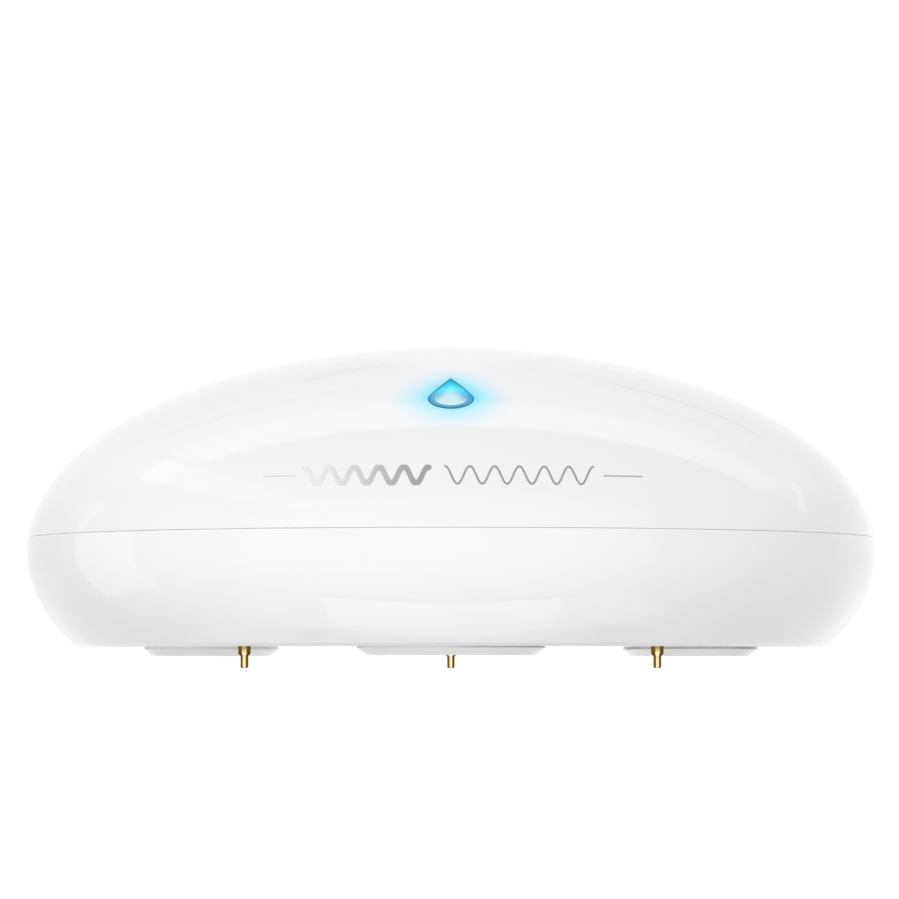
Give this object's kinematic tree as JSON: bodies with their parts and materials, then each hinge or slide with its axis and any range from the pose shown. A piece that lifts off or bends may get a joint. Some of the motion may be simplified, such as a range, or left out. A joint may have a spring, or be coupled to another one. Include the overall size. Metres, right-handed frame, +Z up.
{
  "type": "water leak sensor",
  "caption": "Pebble-shaped white leak sensor on low feet, with gold sprung probes beneath, a lit drop-shaped window and a twist-off cover.",
  "frame": {"origin": "centre of the footprint, level with the tips of the extended probes", "axes": "+Z up through the middle of the cover, -Y towards the drop-shaped window, +X to the right of it"},
  "size_m": [0.072, 0.072, 0.0272],
  "materials": {
    "white_shell": "polished",
    "seal_rubber": "satin",
    "blue_lens": "polished",
    "clear_guide": "polished",
    "foot_plastic": "satin",
    "gold": "polished",
    "spring_steel": "bright",
    "green_board": "satin",
    "steel_screws": "bright",
    "cell_can": "satin",
    "cell_sleeve": "gloss",
    "black_plastic": "matt",
    "nickel_strip": "bright",
    "led": "clear",
    "chip": "matt",
    "shield": "satin",
    "antenna_wire": "bright",
    "ceramic_chips": "matt",
    "button_cap": "satin",
    "buzzer_black": "satin",
    "buzzer_brass": "satin",
    "terminal_green": "satin"
  },
  "bodies": {
    "housing": {"lower_housing": "white_shell", "foot_pad_front": "foot_plastic", "foot_pad_left": "foot_plastic", "foot_pad_right": "foot_plastic", "probe_barrel_rear": "gold", "probe_barrel_left": "gold", "probe_barrel_right": "gold", "probe_spring_rear": "spring_steel", "probe_spring_left": "spring_steel", "probe_spring_right": "spring_steel", "main_board": "green_board", "board_screws": "steel_screws", "battery_cell": "cell_can", "battery_cap": "cell_can", "battery_sleeve": "cell_sleeve", "battery_holder": "black_plastic", "battery_contact_positive": "nickel_strip", "battery_contact_negative": "nickel_strip", "status_led": "led", "microcontroller": "chip", "crystal": "nickel_strip", "radio_module": "shield", "antenna": "antenna_wire", "temperature_sensor": "chip", "tilt_sensor": "chip", "passive_components": "ceramic_chips", "tamper_button_base": "black_plastic", "buzzer_case": "buzzer_black", "buzzer_disc": "buzzer_brass", "terminal_block": "terminal_green", "terminal_screws": "steel_screws"},
    "seal": {"cover_seal": "seal_rubber"},
    "cover": {"top_cover": "white_shell", "indicator_lens": "blue_lens", "light_guide": "clear_guide"},
    "tamper_button": {"tamper_button_cap": "button_cap"},
    "probe_rear": {"probe_plunger_rear": "gold"},
    "probe_left": {"probe_plunger_left": "gold"},
    "probe_right": {"probe_plunger_right": "gold"}
  },
  "joints": [
    {"name": "cover_rise", "type": "slide", "parent": "housing", "child": "seal", "axis": [0, 0, 1], "range_m": [0, 0.018]},
    {"name": "cover_twist", "type": "hinge", "parent": "seal", "child": "cover", "pos_m": [0, 0, 0.011], "axis": [0, 0, 1], "range_deg": [0, 360]},
    {"name": "tamper_button_press", "type": "slide", "parent": "housing", "child": "tamper_button", "axis": [0, 0, -1], "range_m": [0, 0.0003], "stiffness_N_per_m": 2000, "springref_m": -0.0003},
    {"name": "probe_rear_press", "type": "slide", "parent": "housing", "child": "probe_rear", "axis": [0, 0, 1], "range_m": [0, 0.00104], "stiffness_N_per_m": 60, "springref_m": -0.0007, "deforming": ["probe_spring_rear"]},
    {"name": "probe_left_press", "type": "slide", "parent": "housing", "child": "probe_left", "axis": [0, 0, 1], "range_m": [0, 0.00104], "stiffness_N_per_m": 60, "springref_m": -0.0007, "deforming": ["probe_spring_left"]},
    {"name": "probe_right_press", "type": "slide", "parent": "housing", "child": "probe_right", "axis": [0, 0, 1], "range_m": [0, 0.00104], "stiffness_N_per_m": 60, "springref_m": -0.0007, "deforming": ["probe_spring_right"]}
  ],
  "couplings": [
    {"joint": "cover_rise", "follows": "cover_twist", "m_per_rad": 0.0028648}
  ]
}
